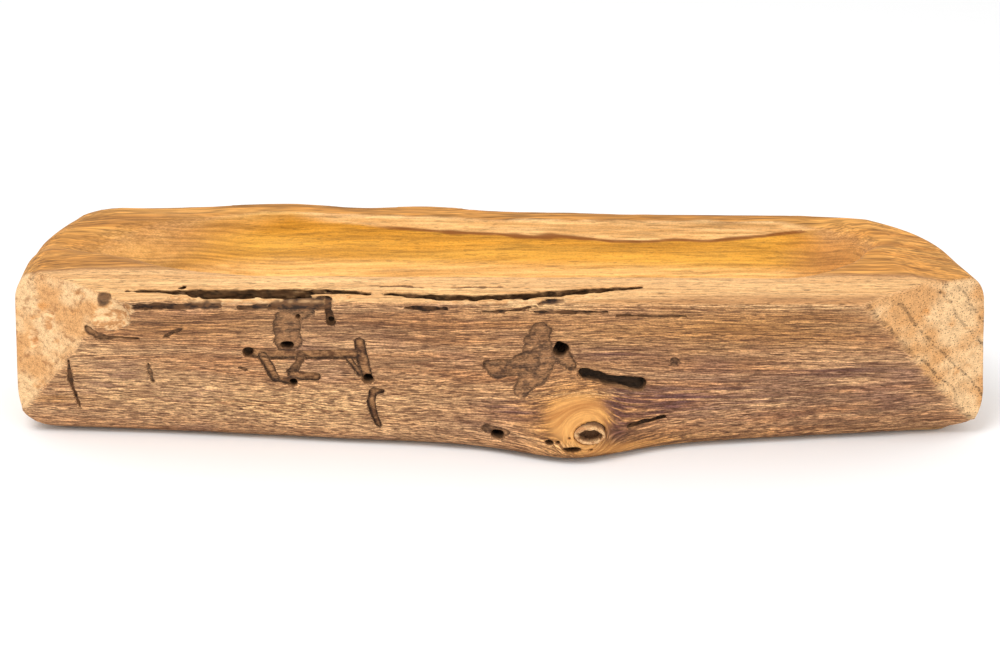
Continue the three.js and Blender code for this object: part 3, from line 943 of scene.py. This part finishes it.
class Graph:
    """Short calls that build the nodes of one material.

    A value may be another node's output, a number, or a colour as (red, green, blue) from 0
    to 255 as it looks on a screen.
    """

    def __init__(self, name):
        self.material = bpy.data.materials.new(name)
        self.material.use_nodes = True
        self.tree = self.material.node_tree
        self.shader = self.tree.nodes["Principled BSDF"]

    def put(self, socket, value):
        if isinstance(value, bpy.types.NodeSocket):
            self.tree.links.new(value, socket)
        else:
            socket.default_value = from_screen(*value) if isinstance(value, tuple) else value

    def fill(self, sockets, values):
        for socket, value in zip(sockets, values):
            self.put(socket, value)

    def node(self, kind, operation=None, **inputs):
        made = self.tree.nodes.new("ShaderNode" + kind)
        if operation:
            made.operation = operation
        for name, value in inputs.items():
            self.put(made.inputs[name], value)
        return made

    def math(self, operation, *values):
        made = self.node("Math", operation)
        self.fill(made.inputs, values)
        return made.outputs[0]

    def times(self, first, second, *plus):
        """The product of two values, with a third added to it if one is given."""
        return self.math("MULTIPLY_ADD" if plus else "MULTIPLY", first, second, *plus)

    def vectors(self, name):
        made = self.node("Attribute")
        made.attribute_name = name
        return made.outputs["Vector"]

    def parts(self, name):
        """The three numbers stored under this name at each vertex."""
        return self.node("SeparateXYZ", Vector=self.vectors(name)).outputs

    def stretch(self, vector, lengths, shift=(0, 0, 0)):
        """The vector divided by these lengths, so that a pattern's features get that size."""
        made = self.node("VectorMath", "MULTIPLY_ADD")
        self.put(made.inputs[0], vector)
        made.inputs[1].default_value = tuple(1 / length for length in lengths)
        made.inputs[2].default_value = shift
        return made.outputs[0]

    def noise(self, vector, lengths, shift, detail, roughness):
        place = self.stretch(vector, lengths, shift)
        made = self.node("TexNoise", Vector=place, Scale=1, Detail=detail, Roughness=roughness)
        return made.outputs["Fac"]

    def spots(self, vector, lengths):
        place = self.stretch(vector, lengths)
        return self.node("TexVoronoi", Vector=place, Scale=1).outputs["Distance"]

    def ramp(self, value, low, high, to_low=0, to_high=1):
        made = self.node("MapRange")
        made.interpolation_type = "SMOOTHSTEP"
        self.fill(made.inputs, (value, low, high, to_low, to_high))
        return made.outputs[0]

    def mix(self, share, first, second):
        made = self.node("Mix")
        made.data_type = "RGBA"
        made.clamp_factor = True
        self.put(made.inputs["Factor"], share)
        self.fill((socket for socket in made.inputs if socket.type == "RGBA"), (first, second))
        return next(socket for socket in made.outputs if socket.type == "RGBA")

    def tones(self, pattern, low, high, first, second):
        """The first colour where the pattern is low, passing into the second where it is high."""
        return self.mix(self.ramp(pattern, low, high), first, second)

    def shade(self, colour, amount):
        """The colour multiplied by a grey amount."""
        made = self.node("VectorMath", "SCALE", Scale=amount)
        self.put(made.inputs[0], colour)
        return made.outputs[0]

    def vary(self, colour, *patterns):
        """The colour shaded by each (pattern, low, high, shade where low, shade where high)."""
        for pattern in patterns:
            colour = self.shade(colour, self.ramp(*pattern))
        return colour

    def finish(self, colour, roughness, height, depth):
        """Gives the shader its colour, its roughness and a bump of this depth in millimetres."""
        bump = self.node("Bump", Height=height, Distance=depth * MM, Strength=1)
        inputs = (self.shader.inputs[name] for name in ("Base Color", "Roughness", "Normal"))
        self.fill(inputs, (colour, roughness, bump.outputs["Normal"]))
        return self.material


WOOD_PATTERNS = dict(  # size of features along and across the grain, shift, detail, roughness
    broad=(70, 5, (0, 0, 0), 2, 0.6),
    cloud=(26, 12, (2, 6, 0), 2, 0.5),
    streak=(60, 1.3, (5, 0, 0), 2, 0.6),
    fibre=(20, 0.42, (0, 9, 0), 0, 0.5),
    hair=(7, 0.27, (0, 4, 3), 0, 0.5),
    stroke=(13, 1, (7, 3, 1), 1, 0.6),
    dash=(3, 0.33, (0, 0, 7), 0, 0.5),
    grit=(0.7, 0.3, (3, 1, 2), 1, 0.7),
    lump=(3, 1.6, (1, 8, 2), 2, 0.6),
)


def wood_patterns(g):
    """The patterns that all of the log's surfaces share, so that they run from face to face."""
    grain = g.vectors("grain")
    made = {"layer": g.noise(g.vectors("layers"), (0.75, 90, 12), (0, 0, 0), 1, 0.6)}
    for name, (along, across, shift, detail, roughness) in WOOD_PATTERNS.items():
        made[name] = g.noise(grain, (along, across, across), shift, detail, roughness)
    return Named(**made, pores=g.spots(grain, (1.8, 0.62, 0.62)))


def weathered_colour(g, wood, warm, cool, dark, pale):
    """Skin of the log under the bark: tan to brown, with dark hair-fine fibres."""
    streaky = g.ramp(wood.streak, 0.34, 0.66)
    skin = g.tones(wood.broad, 0.32, 0.72, (226, 176, 126), (198, 140, 92))
    skin = g.mix(g.ramp(wood.cloud, 0.5, 0.78), skin, (182, 136, 108))
    skin = g.mix(g.times(warm, 0.8), skin, (208, 146, 76))
    skin = g.mix(g.times(cool, streaky), skin, (122, 84, 80))
    # The dark patches, with painted shade along the bottom edge among them
    skin = g.mix(g.times(dark, streaky), skin, (98, 58, 34))
    skin = g.mix(g.times(pale, g.ramp(wood.fibre, 0.72, 0.35)), skin, (232, 186, 130))
    skin = g.vary(skin, (wood.streak, 0.3, 0.72, 1.1, 0.8), (wood.fibre, 0.34, 0.68, 1.12, 0.74))
    skin = g.mix(g.ramp(wood.hair, 0.46, 0.66, 0, 0.68), skin, (92, 54, 34))
    skin = g.mix(g.ramp(wood.dash, 0.54, 0.68, 0, 0.72), skin, (80, 48, 32))
    skin = g.vary(skin, (wood.grit, 0.3, 0.7, 1.3, 0.68))
    calm = g.tones(wood.streak, 0.3, 0.7, (220, 160, 90), (186, 124, 62))
    return g.mix(g.ramp(warm, 0.8, 1.5, 0, 0.8), skin, calm)


def planed_colour(g, wood, stain):
    """Planed wood along the front: pale, with short dark pores, and stained near its edge."""
    band = g.tones(wood.streak, 0.3, 0.7, (238, 188, 128), (214, 160, 102))
    band = g.mix(g.times(stain, g.ramp(wood.cloud, 0.25, 0.55, 0.7, 1)), band, (176, 124, 76))
    return g.vary(
        band,
        (wood.stroke, 0.34, 0.7, 1.07, 0.84),
        (wood.dash, 0.58, 0.7, 1, 0.5),
        (wood.grit, 0.3, 0.7, 1.12, 0.86),
    )


def hollow_colour(g, wood, ring, sap, height, browner):
    """Golden heartwood, with sapwood outside the first strong growth ring."""
    gold = g.tones(wood.broad, 0.35, 0.65, (222, 164, 60), (208, 148, 46))
    low = g.tones(wood.streak, 0.3, 0.7, (240, 188, 112), (228, 168, 88))
    gold = g.mix(g.ramp(height, 40.5, 37), gold, low)
    sapwood = g.tones(wood.streak, 0.3, 0.7, (244, 200, 136), (230, 180, 112))
    bowl = g.mix(browner, g.mix(sap, gold, sapwood), (199, 139, 70))
    calm = g.ramp(browner, 0, 0.4, 0.74, 0.93)
    bowl = g.vary(
        bowl,
        (wood.streak, 0.34, 0.7, 1.08, 0.9),
        (wood.layer, 0.36, 0.66, 1.08, g.ramp(browner, 0, 0.5, 0.84, 0.7)),
        (wood.stroke, 0.5, 0.74, 1.02, calm),
        (wood.dash, 0.62, 0.74, 1, calm),
        (wood.grit, 0.3, 0.7, 1.08, 0.9),
    )
    return g.mix(g.times(ring, 0.9), bowl, (126, 72, 24))


def land_colour(g, wood, ring, browner):
    """Flat lands at the ends of the hollow: browner, with close dark fibres."""
    flat = g.vary(
        g.tones(wood.broad, 0.3, 0.7, (216, 154, 78), (194, 130, 58)),
        (wood.streak, 0.34, 0.7, 1.16, 0.7),
        (wood.stroke, 0.36, 0.68, 1.12, 0.7),
        (wood.layer, 0.34, 0.68, 1.08, 0.84),
        (wood.hair, 0.5, 0.7, 1.04, 0.6),
        (browner, 0.5, 1, 0.95, 1.08),
    )
    return g.mix(g.times(ring, 0.7), flat, (120, 72, 32))


def end_colour(g, wood, ring, left):
    """Slanted end grain: pale and orange blotches, with the pores cut across as dots."""
    facet = g.tones(wood.cloud, 0.42, 0.6, (226, 184, 134), (206, 152, 96))
    facet = g.mix(g.ramp(wood.broad, 0.56, 0.78), facet, (200, 138, 76))
    facet = g.mix(g.times(left, g.ramp(wood.lump, 0.52, 0.74, 0, 0.6)), facet, (168, 110, 62))
    pore = g.ramp(ring, 0, 0.5, 0.34, 0.46)  # pores are wider along the rings
    depth = g.ramp(left, 0, 1, 0.36, 0.72)
    broken = g.times(ring, g.ramp(wood.lump, 0.36, 0.56, 0.1, 1))
    facet = g.vary(
        facet, (wood.lump, 0.35, 0.7, 1.08, 0.84), (wood.pores, g.times(pore, 0.5), pore, depth, 1)
    )
    facet = g.shade(facet, g.math("SUBTRACT", 1, g.times(broken, 0.4)))
    return g.vary(facet, (wood.grit, 0.3, 0.7, 1.16, 0.8))


def cut_colours(g, wood, colour, marks, openings, rim):
    """Puts the colours of the beetle work, the splits and the bores over the wood's own, with
    painted shade on the rims and deeper in the bores.
    """
    gallery, scar, chipped = marks
    split, hole, under = openings
    chip = g.tones(wood.lump, 0.4, 0.6, (240, 200, 148), (196, 142, 90))
    colour = g.mix(chipped, colour, g.vary(chip, (wood.grit, 0.3, 0.7, 1.12, 0.8)))
    dirt = g.tones(wood.lump, 0.46, 0.62, (154, 110, 72), (82, 56, 38))
    dirt = g.vary(dirt, (wood.grit, 0.3, 0.7, 1.3, 0.66))
    colour = g.mix(g.times(scar, g.ramp(under, 0, 0.8, 0.4, 0.78)), colour, dirt)
    floor = g.tones(wood.lump, 0.4, 0.64, (186, 136, 90), (116, 78, 50))
    floor = g.vary(floor, (wood.grit, 0.3, 0.7, 1.25, 0.7))
    colour = g.mix(g.times(gallery, g.ramp(under, 0.2, 0.8)), colour, floor)
    # Painted shade: dark brown on the rims of beetle work and scars, broken up by grit
    wear_and_rim_shade = g.times(rim, g.ramp(wood.grit, 0.3, 0.55, 0.75, 1))
    colour = g.mix(wear_and_rim_shade, colour, (44, 28, 18))
    crack = g.tones(wood.lump, 0.4, 0.66, (104, 70, 42), (46, 30, 20))
    colour = g.mix(g.times(split, g.ramp(under, 0, 0.7)), colour, crack)
    # Bores and the slot: brown walls, with painted shade deepening to near black further in
    pit = g.tones(under, 0.8, 4, (132, 94, 60), (58, 42, 28))
    pit = g.vary(pit, (wood.lump, 0.3, 0.7, 1.3, 0.6))
    return g.mix(g.times(hole, g.ramp(under, 0.1, 1.2)), colour, pit)


def log_material():
    g = Graph("log_wood")
    wood = wood_patterns(g)
    planed, hollow, land = g.parts("cut_faces")
    weathered, end, base = g.parts("other_faces")
    gap, dark_ring, sap = g.parts("rings")
    pale, rim, height = g.parts("places")
    browner, left, stain = g.parts("ends")
    warm, cool, dark = g.parts("tints_and_shade")
    ring = g.times(g.ramp(gap, 0.55, 0.1), dark_ring)
    wide_ring = g.times(g.ramp(gap, 0.9, 0.15), dark_ring)
    band = planed_colour(g, wood, stain)
    colour = weathered_colour(g, wood, warm, cool, dark, pale)
    # Painted shade: the weathered skin darkens to half towards the bottom edge, where the log turns
    # under
    colour = g.vary(colour, (height, 0.6, 3.4, 0.5, 1))
    for share, kind in (
        (end, end_colour(g, wood, ring, left)),
        (base, g.shade(band, 0.62)),
        (land, land_colour(g, wood, wide_ring, browner)),
        (planed, band),
        (hollow, hollow_colour(g, wood, wide_ring, sap, height, browner)),
    ):
        colour = g.mix(share, colour, kind)
    colour = cut_colours(g, wood, colour, g.parts("beetle_marks"), g.parts("openings"), rim)
    g.shader.inputs["Specular IOR Level"].default_value = 0.3
    roughness = g.times(wood.fibre, 0.16, g.ramp(hollow, 0, 1, 0.72, 0.52))
    ridges = g.times(wood.hair, -0.35, g.times(wood.fibre, 0.5, g.times(wood.streak, 0.6)))
    share = g.times(g.times(weathered, 0.85, 0.15), g.ramp(warm, 0.8, 1.5, 1, 0.35))
    return g.finish(colour, roughness, g.times(ridges, share), 0.6)


def make_log():
    cuts = all_cuts()
    points, quads, under = sculpt(cuts)
    log = mesh_object("carved_log", points, quads)
    describe(log, points, under, cuts)
    log.data.materials.append(log_material())
    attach(log, "root")
    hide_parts("carved_body")


# ---------------- dead branch in the knot

CORE_GRID = 0.22 * 1
CORE_FACE = Named(back=0.35, rough=0.3, sunk=0.9, rim=0.6)  # its worn outer face
CORE_CHECKS = Named(turns=2.5, start=0.8, half=0.16, deep=1.6, reach=3.7)  # drying splits
CORE_HEART = Named(side=0.2, across=0.1, wide=3.2, tall=2.2, depth=4)  # where it is rotten
CORE_BORES = ((-3.3, 0.9, 0.45), (3.2, -1.1, 0.35))  # small beetle holes: side, across, radius
CORE_BORE_DEPTH = 2.5


def core_checks(along, side, across, reach):
    """Negative inside the splits that run out from the heart."""
    turn = CORE_CHECKS.turns * np.arctan2(across, side) + CORE_CHECKS.start
    checks = np.abs(np.sin(turn)) * reach - CORE_CHECKS.half
    return np.maximum(checks, np.maximum(along - CORE_CHECKS.deep, reach - CORE_CHECKS.reach))


def core_heart(along, side, across):
    """Negative inside the rotten heart."""
    heart = CORE_HEART
    out = np.hypot((side - heart.side) / heart.wide, (across - heart.across) / heart.tall)
    ragged = 0.35 * layered_noise(side / 1.2, across / 1.2, along / 2, 903)
    return np.maximum((out - 1) * heart.tall + ragged, along - heart.depth)


def core_field(x, y, z):
    """The branch stub: a flattened taper with a worn face, splits, a rotten heart and bores."""
    along, side, across = branch_place(x, y, z)
    reach = branch_reach(side, across)
    barrel = reach - branch_radius(along) + 0.12 * noise(x / 2, y / 6, z / 2, 901)
    wear_and_rim_shade = 0.5 * noise(side / 1.6, across / 1.6, along / 3, 902) + 0.06 * np.cos(reach * 7)
    sunk = CORE_FACE.sunk * smooth_step(3.6, 2.4, reach)
    face = -along + CORE_FACE.back + CORE_FACE.rough * wear_and_rim_shade + sunk
    body = np.maximum(round_max(barrel, face, CORE_FACE.rim), along - BRANCH.length)
    body = smooth_max(body, -core_checks(along, side, across, reach), 0.25)
    body = smooth_max(body, -core_heart(along, side, across), 0.5)
    for place, height, radius in CORE_BORES:
        bore = np.hypot(side - place, across - height) - radius
        body = smooth_max(body, -np.maximum(bore, along - CORE_BORE_DEPTH), 0.2)
    return body


def core_material():
    g = Graph("knot_wood")
    reach, along, angle = g.parts("branch")
    place = g.vectors("place")
    lump = g.noise(place, (1.6, 1.6, 1.6), (0, 0, 0), 2, 0.6)
    grit = g.noise(place, (0.4, 0.4, 0.4), (4, 0, 1), 1, 0.6)
    wavy = g.times(lump, 0.8, reach)
    rings = g.math("SINE", g.times(wavy, 9))
    callus = g.tones(lump, 0.35, 0.65, (230, 186, 132), (184, 132, 84))
    wood = g.tones(lump, 0.35, 0.65, (168, 120, 78), (122, 80, 50))
    colour = g.vary(g.tones(wavy, 3.1, 3.9, wood, callus), (rings, -1, 1, 0.86, 1.06))
    colour = g.mix(g.ramp(along, 0.9, 3), colour, (112, 78, 48))
    spoke = g.math("ABSOLUTE", g.math("SINE", g.times(angle, 7, lump)))
    colour = g.vary(colour, (grit, 0.3, 0.7, 1.16, 0.78), (spoke, 0, 0.16, 0.8, 1))
    roughness = g.ramp(grit, 0.3, 0.7, 0.72, 0.9)
    return g.finish(colour, roughness, g.times(lump, 0.6, grit), 0.25)


def make_core():
    low, high = np.array(BRANCH_LOW) - 1, np.array(BRANCH_HIGH) + 1
    axes = [np.arange(a, b, CORE_GRID) for a, b in zip(low, high)]
    field = core_field(*np.meshgrid(*axes, indexing="ij")).astype(np.float32)
    points, quads = surface_nets(field, low, CORE_GRID)
    core = mesh_object("dead_branch", points, quads)
    along, side, across = branch_place(*points.T)
    angle = np.arctan2(across, side)
    put_vectors(core.data, "branch", branch_reach(side, across), along, angle)
    put_vectors(core.data, "place", *points.T)
    core.data.materials.append(core_material())
    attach(core, "root")
    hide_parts("knot_core")


# ---------------- brass socket for the stick

SOCKET_SIDES = 96
SOCKET_GROOVES = (4.2, 3.3)  # radii of the fine rings turned in its top


def rounded_corner(radius, height, size, start, steps=4):
    """Points of a quarter arc inside a corner, from an angle of start degrees, turning left."""
    turns = [math.radians(start + 90 * step / steps) for step in range(steps + 1)]
    return [(radius + size * math.cos(turn), height + size * math.sin(turn)) for turn in turns]


def socket_profile():
    """Radius and height of the turned outline, from the middle of the base up to the bore."""
    low, high, shelf = SOCKET.low, SOCKET.high, SOCKET.shelf
    barrel, flange, bore = SOCKET.radius, SOCKET.flange, SOCKET.bore
    profile = [(0.4, low)]
    profile += rounded_corner(barrel - 0.5, low + 0.5, 0.5, -90)
    # A groove round the barrel, then the step out to the flange
    profile += [(barrel, low + 2.2), (barrel - 0.18, low + 2.35), (barrel - 0.18, low + 2.65)]
    profile += [(barrel, low + 2.8), (barrel, shelf - 0.25), (barrel - 0.15, shelf)]
    profile += rounded_corner(flange - 0.2, shelf + 0.2, 0.2, -90)
    profile += rounded_corner(flange - 0.45, high - 0.45, 0.45, 0)
    for groove in SOCKET_GROOVES:
        profile += [(groove + 0.12, high), (groove, high - 0.09), (groove - 0.12, high)]
    # The countersunk mouth of the bore, and its floor
    profile += [(bore + 0.75, high - 0.02), (bore + 0.45, high - 0.16), (bore + 0.12, high - 0.5)]
    floor = high - SOCKET.bore_depth
    profile += [(bore, high - 0.9), (bore, floor + 0.4), (bore - 0.3, floor + 0.05), (0.3, floor)]
    return profile


def brass_material():
    g = Graph("brass")
    reach, _, _ = g.parts("turned")
    place = g.vectors("place")
    blotch = g.noise(place, (3.2, 3.2, 2.4), (0, 0, 0), 3, 0.6)
    speck = g.noise(place, (0.5, 0.5, 0.5), (2, 5, 1), 2, 0.7)
    tool_marks = g.math("SINE", g.times(blotch, 2, g.times(reach, 26)))
    colour = g.tones(blotch, 0.35, 0.6, (206, 168, 92), (160, 118, 62))
    colour = g.mix(g.ramp(speck, 0.56, 0.74), colour, (96, 70, 42))
    soot = g.times(g.ramp(reach, 2.9, 1.5), g.ramp(speck, 0.25, 0.6, 0.4, 1))
    colour = g.mix(soot, colour, (52, 42, 34))
    g.shader.inputs["Metallic"].default_value = 1
    roughness = g.math("MAXIMUM", g.ramp(blotch, 0.3, 0.7, 0.26, 0.5), g.times(soot, 0.8))
    return g.finish(colour, roughness, g.times(tool_marks, 0.25, speck), 0.04)


def make_socket():
    profile = socket_profile()
    turns = [math.tau * side / SOCKET_SIDES for side in range(SOCKET_SIDES)]
    points = np.array(
        [
            (SOCKET.x + r * math.cos(turn), SOCKET.y + r * math.sin(turn), height)
            for r, height in profile
            for turn in turns
        ]
    )
    faces = [tuple(reversed(range(SOCKET_SIDES)))]
    last = (len(profile) - 1) * SOCKET_SIDES
    for ring in range(0, last, SOCKET_SIDES):
        for side in range(SOCKET_SIDES):
            a, b = ring + side, ring + (side + 1) % SOCKET_SIDES
            faces.append((a, b, b + SOCKET_SIDES, a + SOCKET_SIDES))
    faces.append(tuple(range(last, last + SOCKET_SIDES)))
    mesh = bpy.data.meshes.new("incense_socket")
    mesh.from_pydata((points * MM).tolist(), [], faces)
    mesh.polygons.foreach_set("use_smooth", np.ones(len(faces), bool))
    mesh.set_sharp_from_angle(angle=math.radians(40))
    socket = place_object("incense_socket", mesh)
    x, y, z = points.T
    put_vectors(mesh, "place", x, y, z)
    put_vectors(mesh, "turned", np.hypot(x - SOCKET.x, y - SOCKET.y), z, 0 * z)
    mesh.materials.append(brass_material())
    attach(socket, "root")
    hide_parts("stick_socket")


make_log()
make_core()
make_socket()

# ---------------- stage, light and camera

VIEW_ELEVATION = 22
VIEW_DISTANCE = 0.82
VIEW_WIDTH = 0.3  # of the plane through the aim point
AIM = Vector((0, -0.0033, 0.027))
LIGHT_AIM = Vector((0, 0, 0.03))
LIGHTS = (  # name, place, width, power
    ("key", Vector((-0.35, -0.55, 0.95)), 0.6, 6.5),
    ("fill", Vector((0.6, -0.9, 0.45)), 0.8, 2.5),
)
FLOOR_HALF, FLOOR_GREY, FLOOR_ROUGHNESS = 6, 0.9, 0.9
SKY_STRENGTH = 0.9


def make_floor():
    corners = [(i * FLOOR_HALF, j * FLOOR_HALF, 0) for i, j in ((-1, -1), (1, -1), (1, 1), (-1, 1))]
    mesh = bpy.data.meshes.new("floor")
    mesh.from_pydata(corners, [], [(0, 1, 2, 3)])
    floor = place_object("floor", mesh)
    paint = Graph("floor_paint")
    paint.shader.inputs["Base Color"].default_value = (FLOOR_GREY, FLOOR_GREY, FLOOR_GREY, 1)
    paint.shader.inputs["Roughness"].default_value = FLOOR_ROUGHNESS
    mesh.materials.append(paint.material)


def point_at(holder, place, direction):
    holder.location = place
    holder.rotation_mode = "QUATERNION"
    holder.rotation_quaternion = direction.to_track_quat("-Z", "Y")


def make_light(name, place, size, power):
    lamp = bpy.data.lights.new(name, "AREA")
    lamp.shape = "DISK"
    lamp.size = size
    lamp.energy = power
    point_at(place_object(name, lamp), place, LIGHT_AIM - place)


def make_world():
    world = bpy.data.worlds.new("studio")
    world.use_nodes = True
    background = world.node_tree.nodes["Background"]
    background.inputs["Color"].default_value = (1, 1, 1, 1)
    background.inputs["Strength"].default_value = SKY_STRENGTH
    bpy.context.scene.world = world


def make_camera():
    elevation = math.radians(VIEW_ELEVATION)
    back = Vector((0, -math.cos(elevation), math.sin(elevation)))
    camera = bpy.data.cameras.new("camera")
    camera.sensor_width = 36
    camera.lens = camera.sensor_width * VIEW_DISTANCE / VIEW_WIDTH
    camera.clip_end = 30
    holder = place_object("camera", camera)
    point_at(holder, AIM + back * VIEW_DISTANCE, -back)
    bpy.context.scene.camera = holder


make_floor()
make_world()
for light in LIGHTS:
    make_light(*light)
make_camera()
bpy.context.scene.view_settings.view_transform = "Standard"
